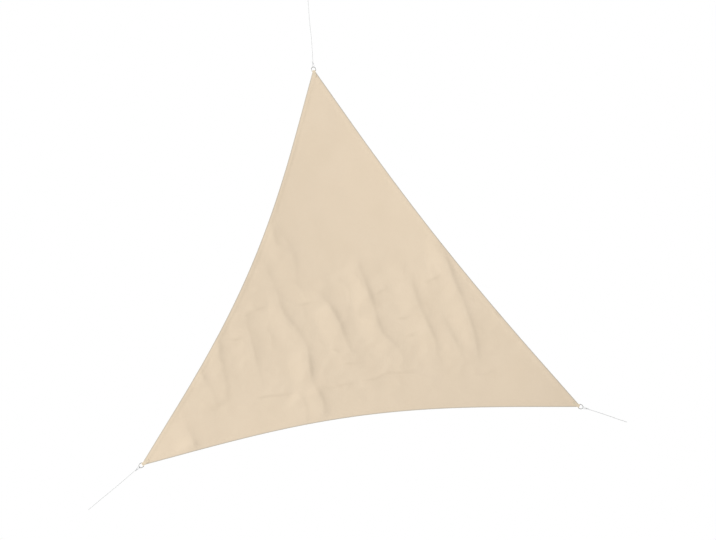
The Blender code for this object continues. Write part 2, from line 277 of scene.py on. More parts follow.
def braid(turn, run):
    """How far the braid stands out (0 to 1), with the place across and along the bundle on top."""
    one, other = BUNDLES * turn + run / BUNDLE_PITCH, BUNDLES * turn - run / BUNDLE_PITCH
    first_on_top = (np.floor(one) + np.floor(other)) % 2 == 0
    across = np.where(first_on_top, one, other)
    along = np.where(first_on_top, other, one)
    crown = np.sqrt(np.abs(np.sin(np.pi * across)))
    over = GOES_UNDER + (1 - GOES_UNDER) * np.abs(np.sin(np.pi * along))
    return crown * over, first_on_top


def rope_piece(name, points, material, sealed=0.0, tight=1.0):
    """A braided rope along points, thinner where a knot pulls it tight, or with a sealed end."""
    normals, others = square_to(points, (0.0, 0.0, 1.0))
    run = run_along(points)
    turns = np.arange(ROPE_SIDES) / ROPE_SIDES
    height, _ = braid(turns[None], run[:, None])
    left = run[-1] - run
    melted = np.clip(1 - left / sealed, 0, 1) if sealed else np.zeros(len(run))
    pulled = np.interp(run, (0, TIGHT_FROM), (1, tight))[:, None]
    radius = ROPE_RADIUS * pulled - BRAID_DEPTH * (1 - height) * (1 - melted[:, None])
    if sealed:
        waist = 1 - WAIST * np.sin(np.pi * np.clip(left / sealed, 0, 1))
        ball = np.sqrt(np.clip(1 - (1 - np.clip(left / ROPE_RADIUS, TIP, 1)) ** 2, 0, 1))
        radius = radius * (waist * ball)[:, None]
    around = 2 * np.pi * turns
    ring = np.cos(around)[None, :, None] * normals[:, None]
    ring = ring + np.sin(around)[None, :, None] * others[:, None]
    skin_points = points[:, None] + ring * radius[:, :, None]
    faces = skin(len(points), ROPE_SIDES)
    piece = new_piece(name, skin_points.reshape(-1, 3), faces, material, sharp=80)
    lay_map(piece, "braid", braid_map(run))
    return piece


def braid_map(run):
    """For each corner of a rope's faces, how far across and along its bundle it is."""
    turns = np.arange(ROPE_SIDES + 1) / ROPE_SIDES
    one = BUNDLES * turns[None] + run[:, None] / BUNDLE_PITCH
    other = BUNDLES * turns[None] - run[:, None] / BUNDLE_PITCH
    middle_turn = (turns[:-1] + turns[1:]) / 2
    middle_run = (run[:-1] + run[1:]) / 2
    _, first_on_top = braid(middle_turn[None], middle_run[:, None])
    corners = []
    for row, column in ((0, 0), (0, 1), (1, 1), (1, 0)):
        rows = slice(row, row + len(run) - 1)
        columns = slice(column, column + ROPE_SIDES)
        a, b = one[rows, columns], other[rows, columns]
        corners.append(np.stack([np.where(first_on_top, a, b), np.where(first_on_top, b, a)], -1))
    sides = np.stack(corners, axis=2).reshape(-1, 2)
    return np.concatenate([sides, np.zeros((2 * ROPE_SIDES, 2))])


# %% [markdown]
# ### Polyester cord
#
# The cord is braided from bright white polyester filament, left undyed. The filaments are round
# and smooth, so the cord has a soft shine and shows as a pale grey. Each bundle holds five
# yarns, which lie side by side and show as fine lines along it. The hollows between the yarns
# are painted darker, as painted shade.

# %% Material: braided polyester cord
CORD_PALE, CORD_IN_SHADE = "#E2E3E3", "#B2B3B3"
YARNS = 5  # in each bundle

polyester_cord, tree, shader = new_material(
    "braided_polyester_cord", Roughness=0.62, IOR=1.57, Sheen_Weight=0.15
)
bundle = add(tree, "UVMap", {"uv_map": "braid"})
place_in = add(tree, "SeparateXYZ", Vector=bundle.outputs["UV"])
yarn_turns = add(tree, "Math", TIMES, n_0=place_in.outputs["X"], n_1=YARNS * math.pi)
yarn_wave = add(tree, "Math", WAVE, n_0=yarn_turns.outputs[0])
yarn_crown = add(tree, "Math", {"operation": "ABSOLUTE"}, n_0=yarn_wave.outputs[0])
fluff = add(tree, "TexNoise", Vector=bundle.outputs["UV"], Scale=3.0, Detail=4.0)
# Painted shade: the hollows between the yarns are painted towards the deep grey. Random fluff
# varies the tone on top.
yarn_shade = add(tree, "MapRange", Value=yarn_crown.outputs[0], To_Min=0.35, To_Max=1.0)
yarn_shade_and_fluff = add(
    tree,
    "Math",
    TIMES,
    n_0=yarn_shade.outputs[0],
    n_1=add(tree, "MapRange", Value=fluff.outputs["Fac"], To_Min=0.8, To_Max=1.15).outputs[0],
)
cord_colour = add(
    tree, "Mix", COLOURS, n_0=yarn_shade_and_fluff.outputs[0], n_6=light_of(CORD_IN_SHADE), n_7=light_of(CORD_PALE)
)
yarn_bump = add(tree, "Bump", Strength=0.6, Distance=0.00012, Height=yarn_crown.outputs[0])
tree.links.new(cord_colour.outputs[2], shader.inputs["Base Color"])
tree.links.new(yarn_bump.outputs[0], shader.inputs["Normal"])
print("cord material has", len(tree.nodes), "nodes")

# %% [markdown]
# ### The three ropes, from their knots outwards
#
# Something outside the picture holds each rope taut, so none of them hangs. A taut thin rope is
# still not a ruled line: it keeps a few millimetres of its old bends. The left and the right
# rope end free, melted to a smooth tip. The top one goes on into the loop that the sail hangs by.

# %% Rope routes
KNOT_START, KNOT_LENGTH = 0.037, 0.020
HANGING_KNOT_START = 0.636
ROPE_START = KNOT_START + KNOT_LENGTH + GAP
ROPES = {
    "top": (
        (ROPE_START, 0.0000, 0.0000),
        (0.100, 0.0000, 0.0000),
        (0.180, -0.0020, 0.0000),
        (0.270, -0.0030, -0.0005),
        (0.360, 0.0000, -0.0010),
        (0.450, 0.0015, -0.0008),
        (0.540, 0.0005, -0.0004),
        (0.595, 0.0000, 0.0000),
        (HANGING_KNOT_START - GAP, 0.0000, 0.0000),
    ),
    "left": (
        (ROPE_START, 0.0000, 0.0000),
        (0.100, 0.0000, 0.0000),
        (0.200, 0.0010, -0.0006),
        (0.300, 0.0012, -0.0012),
        (0.400, 0.0004, -0.0010),
        (0.470, -0.0004, -0.0005),
        (0.538, 0.0000, 0.0000),
    ),
    "right": (
        (ROPE_START, 0.0000, 0.0000),
        (0.100, 0.0004, 0.0000),
        (0.180, 0.0018, -0.0006),
        (0.260, 0.0010, -0.0010),
        (0.330, -0.0008, -0.0006),
        (0.394, 0.0000, 0.0000),
    ),
}

# %% Ropes
pull = {name: corner_frame(name, angle) for name, angle in PULL_ANGLE.items()}
ropes, rope_lines = {}, {}
for name, route in ROPES.items():
    line = in_room(evenly(route, ROPE_STEP), pull[name])
    sealed = 0.0 if name == "top" else SEALED
    ropes[name] = rope_piece(f"cord_{name}", line, polyester_cord, sealed)
    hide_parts(f"rope_{name}")
    rope_lines[name] = line
    print(f"{name} rope {run_along(line)[-1]:.3f} m")

# %% [markdown]
# ### Knots
#
# Each rope goes through its ring, comes back and is wound twice round itself, and a short end is
# left. The loop at the top is tied the same way. The whole knot is one run of rope: in
# along the middle, round the ring or the loop, and back in a helix. Modelling it as the run that
# the hand ties gives the real crossings, where a plain barrel wouldn't.

# %% Values of a knot
TIGHT = 0.87  # the rope's thickness in a knot, as a share of its own
WIND_TURNS = 2
WIND_PITCH = 0.0045
WIND_RADIUS = 0.0043  # to the wound rope's middle
WIND_START = 0.0170  # from the knot's rope side to its first turn
WIND_POINTS = 16  # a turn
STANDING = (0.0, 0.006, 0.012, 0.0165)  # the straight run through the middle
# Points of the short end that is left: how far along the knot, sideways and up.
TAIL = ((0.0040, 0.0046, 0.0020), (-0.0010, 0.0052, 0.0032), (-0.0070, 0.0060, 0.0042))

# Each bight is given as it lies from the knot: how far out, sideways and up.
RING_BIGHT = (
    (0.0345, -0.0050, 0.0010),
    (0.0280, -0.0068, 0.0027),
    (0.0215, -0.0052, 0.0045),
    (0.0165, -0.0028, 0.0052),
    (0.0124, -0.0010, 0.0036),
    (0.0109, 0.0000, 0.0000),
    (0.0124, 0.0010, -0.0036),
    (0.0165, 0.0028, -0.0052),
    (0.0215, 0.0052, -0.0045),
    (0.0280, 0.0068, -0.0027),
    (0.0345, 0.0060, -0.0010),
)
HANGING_LOOP = (
    (0.6620, 0.0060, 0.0),
    (0.6800, 0.0118, 0.0),
    (0.7000, 0.0133, 0.0),
    (0.7130, 0.0090, 0.0),
    (LOOP_END - ROPE_RADIUS, 0.0, 0.0),
    (0.7130, -0.0090, 0.0),
    (0.7000, -0.0133, 0.0),
    (0.6800, -0.0118, 0.0),
    (0.6620, -0.0065, 0.0),
)


def knot_route(start, way, bight):
    """A knot's run of rope. It starts at the rope's end and goes one way along +X."""
    side = math.copysign(1, bight[-1][1])
    standing = [(start + way * along, 0.0, 0.0) for along in STANDING]
    winding = []
    for number in range(WIND_TURNS * WIND_POINTS + 1):
        turns = number / WIND_POINTS
        x = start + way * (WIND_START - WIND_PITCH * turns)
        angle = 2 * math.pi * turns
        y, z = WIND_RADIUS * math.cos(angle), WIND_RADIUS * math.sin(angle)
        winding.append((x, side * y, z))
    tail = [(start + way * along, side * y, z) for along, y, z in TAIL]
    return [*standing, *bight, *winding, *tail]


# %% Knots at the rings, and the loop at the top
for name in CORNERS:
    route = knot_route(ROPE_START, -1, RING_BIGHT)
    line = in_room(evenly(route, ROPE_STEP), pull[name])
    rope_piece(f"knot_{name}", line, polyester_cord, ROPE_RADIUS, TIGHT)
    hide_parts(f"tie_{name}")
    print("rope in the knot at the", name, round(ROPE_STEP * (len(line) - 1), 3), "m")
route = knot_route(HANGING_KNOT_START - GAP, 1, HANGING_LOOP)
line = in_room(evenly(route, ROPE_STEP), pull["top"])
hanging_loop = rope_piece("knot_and_loop", line, polyester_cord, ROPE_RADIUS, TIGHT)
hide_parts("loop_top")
print("rope in the loop and its knot", round(ROPE_STEP * (len(line) - 1), 3), "m")

# %% Each rope and its line
for name, piece in ropes.items():
    line = rope_lines[name]

# %% [markdown]
# ## Stage and light
#
# The backdrop of a catalogue picture is plain white paper that curves up behind the object. A
# world that is white all round does the same, but it would wash the folds out, so it is dimmer
# overhead, where no paper hangs. One large soft lamp to the upper left then shows the folds:
# what faces it is lit, and what turns away from it goes a little darker. A pale floor far below
# sends light up under the sail. The camera doesn't see the floor, so the cloth can also be
# looked at from underneath.

# %% World, lamp and floor
PAPER_UP_TO, DIM_FROM = 0.20, 0.70  # heights on a sphere round the sail, 1 being straight up
OVERHEAD_LIGHT = 0.46
LAMP_SIZE, LAMP_POWER = 10.0, 3400.0  # metres across, and watts
# How far off the lamp is, its lean from straight above the cloth, and the way that it leans.
LAMP_AWAY, LAMP_LEAN, LAMP_FROM = 21.0, math.radians(60), math.radians(160)
FLOOR, FLOOR_REACH = -4.2, 40.0

bpy.context.scene.view_settings.view_transform = "Standard"
world = bpy.data.worlds.new("white paper")
world.use_nodes = True
tree = world.node_tree
way_out = add(tree, "TexCoord")
height = add(tree, "SeparateXYZ", Vector=way_out.outputs["Generated"])
dimmed = add(
    tree,
    "MapRange",
    Value=height.outputs["Z"],
    From_Min=PAPER_UP_TO,
    From_Max=DIM_FROM,
    To_Min=1.0,
    To_Max=OVERHEAD_LIGHT,
)
tree.nodes["Background"].inputs["Color"].default_value = light_of("#FFFFFF")
tree.links.new(dimmed.outputs[0], tree.nodes["Background"].inputs["Strength"])
bpy.context.scene.world = world

lamp = bpy.data.objects.new("soft lamp", bpy.data.lights.new("soft lamp", "AREA"))
lamp.data.shape = "DISK"
lamp.data.size = LAMP_SIZE
lamp.data.energy = LAMP_POWER
middle = Vector((0, HEIGHT / 3, 0))
to_lamp = Vector((*direction(LAMP_FROM) * math.sin(LAMP_LEAN), math.cos(LAMP_LEAN)))
lamp.location = PLANE @ (middle + to_lamp * LAMP_AWAY)
lamp.rotation_euler = (PLANE.to_3x3() @ to_lamp).to_track_quat("Z", "Y").to_euler()
bpy.context.scene.collection.objects.link(lamp)

floor_mesh = bpy.data.meshes.new("floor")
signs = ((-1, -1), (1, -1), (1, 1), (-1, 1))
floor_mesh.from_pydata(
    [(x * FLOOR_REACH, y * FLOOR_REACH, FLOOR) for x, y in signs], [], [(0, 1, 2, 3)]
)
floor = bpy.data.objects.new("floor", floor_mesh)
floor_paint, _, shader = new_material("matt_floor_paint", Roughness=0.9)
shader.inputs["Base Color"].default_value = light_of("#EDEDEA")
floor_mesh.materials.append(floor_paint)
bpy.context.scene.collection.objects.link(floor)
floor.visible_camera = False

# %% [markdown]
# ## The cloth
#
# The sail is plain-woven polyester. Its three edges are cut as inward curves, so that the ropes
# pull the whole edge tight. Folds left from its packet still show where the pull is least.

# %% Edges and their curves
Edge = namedtuple("Edge", "start end bow gather")
EDGES = (
    Edge("top", "left", bow=0.174, gather=0.31),
    Edge("left", "right", bow=0.166, gather=0.33),
    Edge("right", "top", bow=0.061, gather=0.21),
)
TIP_CUT = 0.033
# Shares of an edge: where a corner's angle is taken, and how far from it an edge is searched.
TIP_SHARE, LONGEST_TIP, TIP_STEPS = 0.02, 0.05, 2001


def edge_line(edge):
    """Where an edge's straight line starts, its direction and the one into the cloth."""
    start, end = np.array(CORNERS[edge.start]), np.array(CORNERS[edge.end])
    along = (end - start) / SIDE
    return start, along, np.array((-along[1], along[0]))


def inward_curve(edge, share):
    """How far inside that straight line the edge lies, at a share of its length."""
    even = 4 * share * (1 - share)
    return edge.bow * ((1 - edge.gather) * even + edge.gather * even**2)


def edge_point(edge, share, inset=0.0):
    start, along, inward = edge_line(edge)
    return start + along * SIDE * share + inward * (inward_curve(edge, share) + inset)


def depth_from(edge, points):
    """How far inside one edge points lie."""
    start, along, inward = edge_line(edge)
    offset = np.asarray(points) - start
    return offset @ inward - inward_curve(edge, offset @ along / SIDE)


def depth_inside(points):
    """How far inside the nearest edge points lie."""
    return np.min([depth_from(edge, points) for edge in EDGES], axis=0)


# %% The corners of the cloth
def tip_angle(corner):
    """The angle of the line that halves a corner of the cloth and points out of it."""
    from_corner = [edge_point(edge, TIP_SHARE) for edge in EDGES if edge.start == corner]
    from_corner += [edge_point(edge, 1 - TIP_SHARE) for edge in EDGES if edge.end == corner]
    out = np.array(CORNERS[corner]) - np.mean(from_corner, axis=0)
    return math.atan2(out[1], out[0])


def before_tip(corner, point):
    """Whether a point lies on the cloth's side of the cut across its corner."""
    return (point - np.array(CORNERS[corner])) @ direction(tip_angle(corner)) <= -TIP_CUT


def shares_between(starts, ends, step):
    """Even shares of an edge, from the first that passes one test to the last to pass the other."""
    near_corner = np.linspace(0, LONGEST_TIP, TIP_STEPS)
    low = next(share for share in near_corner if starts(share))
    high = next(1 - share for share in near_corner if ends(1 - share))
    return np.linspace(low, high, round((high - low) * SIDE / step) + 1)


def row_inside(number, inset, step):
    """Shares of one edge for a row of points that runs inside it, clear of the other two."""
    edge, last, following = EDGES[number], EDGES[number - 1], EDGES[(number + 1) % len(EDGES)]

    def clear_of(other, corner, share):
        point = edge_point(edge, share, inset)
        return depth_from(other, point) >= inset and before_tip(corner, point)

    return shares_between(
        lambda share: clear_of(last, edge.start, share),
        lambda share: clear_of(following, edge.end, share),
        step,
    )


# %% [markdown]
# ### Folds
#
# The cloth was folded many times to go in its packet, and its pull is too slight to take the
# folds out. Each one has a crest that wanders a little. The cloth rises to it slowly from the
# left and drops on its right, so light from the left shows a broad pale side and a narrow dark
# one. Noise could crumple the cloth with less work, but its folds would run every way. Here each
# crest is a line of its own, and its height swells and fades along the line.
#
# Sharper creases run across, where the edges of the packet pressed. They hardly rise. What shows
# is a faint darker line along each one, painted shade that the material adds.

# %% Values of the folds
# Each point of a crest: across the sail and up its slope in metres, and its height in millimetres.
FOLDS = (
    ((0.14, 1.50, 0), (0.15, 1.39, 6), (0.18, 1.28, 6), (0.20, 1.16, 13), (0.22, 1.09, 11),
     (0.23, 1.02, 6), (0.24, 0.93, 11), (0.27, 0.82, 9), (0.32, 0.75, 9), (0.38, 0.67, 5),
     (0.42, 0.57, 4), (0.45, 0.48, 0)),
    ((0.57, 1.30, 0), (0.57, 1.22, 4), (0.58, 1.11, 8), (0.60, 1.02, 8), (0.63, 0.91, 8),
     (0.66, 0.80, 13), (0.69, 0.70, 8), (0.69, 0.60, 6), (0.71, 0.52, 2), (0.73, 0.44, 0)),
    ((0.87, 1.42, 8), (0.89, 1.31, 12), (0.91, 1.20, 12), (0.94, 1.09, 10), (0.97, 0.98, 7),
     (0.99, 0.87, 10), (1.01, 0.76, 9), (1.02, 0.66, 8), (1.02, 0.56, 7), (1.02, 0.46, 0)),
    ((0.78, 0.98, 0), (0.78, 0.88, 2), (0.82, 0.76, 5), (0.86, 0.64, 8), (0.89, 0.54, 5),
     (0.91, 0.46, 0)),
    ((-0.34, 1.26, 0), (-0.22, 1.21, 5), (-0.16, 1.14, 6), (-0.11, 1.05, 13), (-0.08, 0.97, 12),
     (-0.06, 0.89, 11), (-0.04, 0.81, 6), (-0.01, 0.72, 7), (0.05, 0.64, 3), (0.11, 0.58, 0)),
    ((-0.63, 1.54, 0), (-0.60, 1.42, 4), (-0.56, 1.30, 1), (-0.54, 1.17, 7), (-0.50, 1.05, 9),
     (-0.43, 0.94, 6), (-0.39, 0.86, 5), (-0.36, 0.76, 6), (-0.36, 0.66, 12), (-0.36, 0.56, 11),
     (-0.35, 0.48, 4), (-0.32, 0.41, 11), (-0.29, 0.32, 9), (-0.29, 0.22, 7), (-0.26, 0.16, 0)),
    ((-0.51, 0.43, 0), (-0.46, 0.37, 7), (-0.44, 0.29, 5), (-0.44, 0.21, 5), (-0.42, 0.15, 0)),
    ((-0.63, 1.17, 0), (-0.74, 1.17, 4), (-0.82, 1.12, 3), (-0.83, 1.04, 3), (-0.81, 0.92, 6),
     (-0.80, 0.82, 8), (-0.79, 0.71, 5), (-0.77, 0.58, 2), (-0.75, 0.48, 0)),
    ((-1.09, 1.00, 0), (-1.08, 0.90, 8), (-1.08, 0.80, 6), (-1.07, 0.70, 5), (-1.06, 0.58, 5),
     (-1.06, 0.46, 4), (-1.05, 0.38, 0)),
    ((-1.27, 0.76, 0), (-1.24, 0.66, 9), (-1.19, 0.55, 3), (-1.16, 0.45, 5), (-1.13, 0.38, 0)),
    ((-1.43, 0.34, 0), (-1.41, 0.26, 3), (-1.38, 0.18, 6), (-1.36, 0.10, 12), (-1.35, 0.04, 4)),
    ((-0.57, 1.92, 0), (-0.52, 1.78, 5), (-0.50, 1.66, 5), (-0.40, 1.58, 3), (-0.37, 1.48, 4),
     (-0.38, 1.38, 3), (-0.39, 1.30, 0)),
    ((-0.50, 1.88, 0), (-0.46, 1.76, 2), (-0.41, 1.66, 4), (-0.37, 1.58, 2), (-0.35, 1.50, 0)),
    ((0.52, 1.42, 0), (0.51, 1.32, 4), (0.51, 1.22, 0)),
    ((0.74, 1.36, 0), (0.75, 1.26, 5), (0.77, 1.14, 3), (0.79, 1.04, 0)),
)
CREASES = (
    ((-0.24, 1.150, 0), (-0.33, 1.140, 2), (-0.38, 1.140, 1), (-0.41, 1.130, 0)),
    ((0.38, 1.190, 0), (0.32, 1.170, 2), (0.29, 1.155, 2), (0.25, 1.145, 0)),
    ((0.83, 1.240, 0), (0.78, 1.215, 2), (0.73, 1.200, 2), (0.69, 1.195, 1), (0.65, 1.195, 0)),
    ((0.53, 0.930, 0), (0.47, 0.915, 2), (0.43, 0.920, 2), (0.39, 0.930, 0)),
    ((0.57, 0.790, 0), (0.50, 0.770, 2), (0.45, 0.765, 0)),
    ((-0.08, 0.710, 0), (-0.13, 0.730, 2), (-0.18, 0.750, 0)),
    ((0.11, 0.610, 0), (0.06, 0.600, 1), (0.00, 0.600, 1), (-0.04, 0.605, 2), (-0.10, 0.605, 0)),
    ((-0.03, 0.445, 0), (-0.08, 0.440, 2), (-0.19, 0.425, 1), (-0.26, 0.435, 1), (-0.30, 0.450, 0)),
    ((0.54, 0.485, 0), (0.43, 0.470, 2), (0.34, 0.480, 2), (0.26, 0.485, 2), (0.18, 0.455, 2),
     (0.11, 0.450, 2), (0.04, 0.445, 0)),
    ((-0.46, 0.420, 0), (-0.53, 0.420, 1), (-0.64, 0.420, 2), (-0.72, 0.425, 3), (-0.79, 0.420, 2),
     (-0.83, 0.420, 0)),
    ((-0.87, 0.935, 0), (-0.92, 0.920, 2), (-0.95, 0.920, 2), (-1.00, 0.930, 1), (-1.03, 0.930, 0)),
    ((-0.63, 1.155, 0), (-0.69, 1.150, 2), (-0.76, 1.130, 1), (-0.82, 1.105, 1), (-0.84, 1.090, 0)),
    ((1.15, 0.385, 0), (1.13, 0.385, 1), (1.06, 0.370, 1), (0.98, 0.380, 1), (0.95, 0.390, 0)),
    ((1.21, 0.885, 0), (1.24, 0.850, 3), (1.27, 0.810, 0)),
)
Profile = namedtuple("Profile", "rise drop")
FOLD_PROFILE = Profile(rise=0.180, drop=0.034)
CREASE_PROFILE = Profile(rise=0.060, drop=0.018)
CREST_STEP = 0.008
IN_METRES = (1, 1, 0.001)  # what turns the values of a crest's points into metres


# %% How folds, sag and sewing lift the cloth
def smooth_step(share):
    share = np.clip(share, 0, 1)
    return share * share * (3 - 2 * share)


def near_crest(points, crest, reach):
    """Which points lie near a crest, how far to its left each is, and its height beside them."""
    crest = evenly(np.multiply(crest, IN_METRES), CREST_STEP)
    line, height = crest[:, :2], crest[:, 2]
    low, high = line.min(axis=0) - reach, line.max(axis=0) + reach
    near = np.flatnonzero(((points > low) & (points < high)).all(axis=1))
    offsets = points[near][:, None] - line[None]
    nearest = np.argmin((offsets**2).sum(axis=2), axis=1)
    offset = offsets[np.arange(len(near)), nearest]
    along = np.gradient(line, axis=0)[nearest]
    step = np.linalg.norm(along, axis=1)
    ahead = (along * offset).sum(axis=1) / step
    aside = (along[:, 0] * offset[:, 1] - along[:, 1] * offset[:, 0]) / step
    beside = np.interp(nearest + ahead / step, np.arange(len(line)), height)
    past_end = np.maximum(np.abs(ahead) - CREST_STEP, 0)
    return near, np.sign(aside) * np.hypot(aside, past_end), beside


def add_fold(lift, points, crest, profile):
    """Lift points of the cloth by one fold."""
    near, side, height = near_crest(points, crest, profile.rise + CREST_STEP)
    before = smooth_step(1 + side / profile.rise)
    after = 1 / (1 + (side / profile.drop) ** 2)
    lift[near] += height * np.where(side < 0, before, after)


EDGE_SAG, BELLY = 0.022, 0.050  # the sag of the whole sheet, and what its middle adds
# The pull leaves a corner flat this far, and sag and folds come in over these lengths.
FLAT_CORNER, SAG_SPREAD, CREASE_SPREAD = 0.120, 0.700, 0.250
# The hem is stiff: folds keep this share of their height in it, and are full this far inside.
HEM_WIDTH, HEM_GIVES, HEM_EASES = 0.035, 0.35, 0.070
# Soft bumps: how high, how far apart, and a number that sets each kind apart from the others.
DENT, DENT_SPACING, DENT_SEED = 0.0013, 0.16, 3.7
RUMPLE, RUMPLE_SPACING, RUMPLE_SEED = 0.0035, (0.150, 0.090), 5.3
RUMPLED = ((0.15, 0.45), (1.30, 1.70))  # up the slope: where rumples come in and go out again
PUCKER, PUCKER_SPACING, PUCKER_SEED = 0.0005, 0.030, 8.1
PUCKER_REACH, PUCKER_FROM = 0.045, 0.012
# How far to each side of a crease its painted shade reaches, and the crease height that gets it in
# full.
CREASE_SHADE_HALF_WIDTH, DEEPEST_CREASE = 0.021, 0.003


def bumps(points, spacing, seed):
    """Soft bumps and dents, -1 to 1, about a spacing apart. They are the same on every run."""
    return np.array([noise.noise((x / spacing, y / spacing, seed)) for x, y in points])


def sheet_height(points):
    """How far the middle of the cloth lies from the sail's plane."""
    points = np.asarray(points)
    top = points[:, 1] / HEIGHT
    right = (points[:, 0] / SIDE) + (1 - top) / 2
    left = 1 - top - right  # the three shares, of which 3 and 27 make products that reach 1
    sag = EDGE_SAG * 3 * (top * left + left * right + right * top)
    sag = sag + BELLY * 27 * top * left * right
    folds = DENT * bumps(points, DENT_SPACING, DENT_SEED)
    for crests, profile in ((FOLDS, FOLD_PROFILE), (CREASES, CREASE_PROFILE)):
        for crest in crests:
            add_fold(folds, points, crest, profile)
    (lowest, full_from), (full_to, highest) = RUMPLED
    rumpled = smooth_step((points[:, 1] - lowest) / (full_from - lowest))
    rumpled *= smooth_step((highest - points[:, 1]) / (highest - full_to))
    folds = folds - RUMPLE * rumpled * np.abs(bumps(points / RUMPLE_SPACING, 1.0, RUMPLE_SEED))
    depth = depth_inside(points)
    folds = folds * (HEM_GIVES + (1 - HEM_GIVES) * smooth_step(depth / HEM_EASES))
    sewn = np.exp(-(((depth - HEM_WIDTH) / PUCKER_REACH) ** 2)) * smooth_step(depth / PUCKER_FROM)
    folds = folds + PUCKER * sewn * bumps(points, PUCKER_SPACING, PUCKER_SEED)
    hangs, creased = np.ones(len(points)), np.ones(len(points))
    for corner in CORNERS.values():
        away = np.linalg.norm(points - np.array(corner), axis=1) - FLAT_CORNER
        hangs *= smooth_step(away / SAG_SPREAD)
        creased *= smooth_step(away / CREASE_SPREAD)
    return creased * folds - hangs * sag


def crease_shade_mask(points):
    """How much painted shade a crease puts on each point of the cloth, 0 to 1."""
    marks = np.zeros(len(points))
    for crease in CREASES:
        near, side, height = near_crest(points, crease, CREASE_SHADE_HALF_WIDTH)
        fades = 1 - smooth_step(np.abs(side) / CREASE_SHADE_HALF_WIDTH)
        marks[near] = np.maximum(marks[near], height / DEEPEST_CREASE * fades)
    return marks


# %% [markdown]
# ### The sheet
#
# The cloth is one sheet, so it is one mesh: a skin above and one below, joined round the rim.
# Its edge is turned under and sewn, which makes a thicker rim, the hem. A simulation could hang
# it, but the pull of the ropes has left only known folds, so they are placed one by one. Points lie
# close across the folds, where the cloth bends, and further apart along them. Rows of points
# follow each sharp crease, and the hem's round rim, its seam and its step.

# %% Values of the sheet
CLOTH_HALF = 0.0005
HEM_HALF = 0.0013
STEP_ABOVE, STEP_BELOW = 0.014, 0.002  # the layer turned under lies below, so its step is there
RIM_ROWS = ((0.0, 0.35), (0.0005, 0.75), (0.0014, 1.0))  # how deep, and what share of the hem
SEAM_DEPTH, SEAM_GROOVE, SEAM_HALF_WIDTH = 0.031, 0.00020, 0.0025
HEM_ROWS = (0.010, 0.020, 0.0275, 0.0295, 0.031, 0.0325, 0.034, 0.036, 0.042)
ROW_STEP = 0.018
ACROSS_STEP, ALONG_STEP = 0.0075, 0.016
INSIDE_ROWS = 0.050
CREASE_STEP, CREASE_ROWS, CREASE_CLEAR = 0.008, (-0.015, -0.007, 0.0, 0.007, 0.015), 0.019
ONLY_INSIDE, MERGE = 1, 0.0002


def half_thickness(depth, step):
    """How far a skin lies from the cloth's middle, at a depth inside its edge."""
    rim = np.interp(depth, *zip(*RIM_ROWS))
    hemmed = 1 - smooth_step((depth - HEM_WIDTH) / step + 0.5)
    seam = SEAM_GROOVE * (1 - smooth_step(np.abs(depth - SEAM_DEPTH) / SEAM_HALF_WIDTH))
    return CLOTH_HALF + (HEM_HALF - CLOTH_HALF) * rim * hemmed - seam


# %% Points of the sheet
rim, rows = [], []
for number, edge in enumerate(EDGES):
    rim += [edge_point(edge, share) for share in row_inside(number, 0.0, ROW_STEP)]
    for inset in [depth for depth, _ in RIM_ROWS[1:]] + list(HEM_ROWS):
        rows.append([edge_point(edge, s, inset) for s in row_inside(number, inset, ROW_STEP)])

grid = []
for number, y in enumerate(np.arange(0, HEIGHT, ALONG_STEP)):
    first = -SIDE / 2 + ACROSS_STEP / 2 * (number % 2)
    grid += [(x, y) for x in np.arange(first, SIDE / 2, ACROSS_STEP)]
grid, crease_rows = np.array(grid), []
for crease in CREASES:
    line = evenly(np.multiply(crease, IN_METRES), CREASE_STEP)[:, :2]
    along = np.gradient(line, axis=0)
    along /= np.linalg.norm(along, axis=1)[:, None]
    aside = np.column_stack([-along[:, 1], along[:, 0]])
    near, side, _ = near_crest(grid, crease, CREASE_CLEAR)
    grid = np.delete(grid, near[np.abs(side) < CREASE_CLEAR], axis=0)
    crease_rows += [line + aside * inset for inset in CREASE_ROWS]
grid = np.concatenate([grid, *crease_rows])
grid = grid[depth_inside(grid) > INSIDE_ROWS]
print(len(rim), "points on the rim,", sum(map(len, rows)), "in rows and", len(grid), "inside")

# %% Mesh of the sheet
points, lines = list(rim), []
for row in rows:
    ids = range(len(points), len(points) + len(row))
    lines += list(zip(ids, ids[1:]))
    points += row
points += list(grid)
flat, _, faces, *_ = delaunay_2d_cdt(
    [Vector(point) for point in points], lines, [range(len(rim))], ONLY_INSIDE, MERGE
)
flat = np.array(flat)
depth = depth_inside(flat)
middle, inside = sheet_height(flat), np.maximum(depth, 0)
above = middle + half_thickness(inside, STEP_ABOVE)
under = middle - half_thickness(inside, STEP_BELOW)
skins = np.concatenate([np.column_stack([flat, above]), np.column_stack([flat, under])])
below = len(flat)
shell = [tuple(face) for face in faces]
shell += [tuple(corner + below for corner in reversed(face)) for face in faces]
sides = {(face[i - 1], face[i]) for face in faces for i in range(3)}
shell += [(b, a, a + below, b + below) for a, b in sorted(sides) if (b, a) not in sides]
print("cloth has", len(skins), "points and", len(shell), "faces")

# %% [markdown]
# ### Woven polyester
#
# The cloth is plain-woven from sand-coloured polyester yarn, then coated to shed water. Plain
# weave means each thread goes over one and under the next. That gives the eye a fine even
# checker with no shine. Some yarns are thicker than others, which shows as short faint streaks
# both ways, and the coating dries a little unevenly, which shows as soft clouds.
#
# The outer edge, where the hem rolls over, is painted grey as painted shade, and the creases are
# painted darker as painted shade too. The mesh keeps two values at each point, its depth inside
# the edge and its share of a crease, and they tell the material where.

# %% Material: woven polyester
CLOTH_SAND, CLOTH_SHADE = "#E6D4BC", "#DCC9AE"
# The grey of the painted shade on the hem's rolled rim.
EDGE_SHADE_GREY = "#BDB5A6"
CREASE_SHADE_BROWN, CREASE_SHADE_SHARE = "#9C8A70", 0.12  # the painted shade's colour, and its share in a crease
THREAD = 0.0018  # metres. Real threads lie 0.45 mm apart, and they are drawn four times as coarse
STREAKS, STREAK_ENDS = 420.0, 14.0  # a metre: each streak is about 2.4 mm wide and 70 mm long

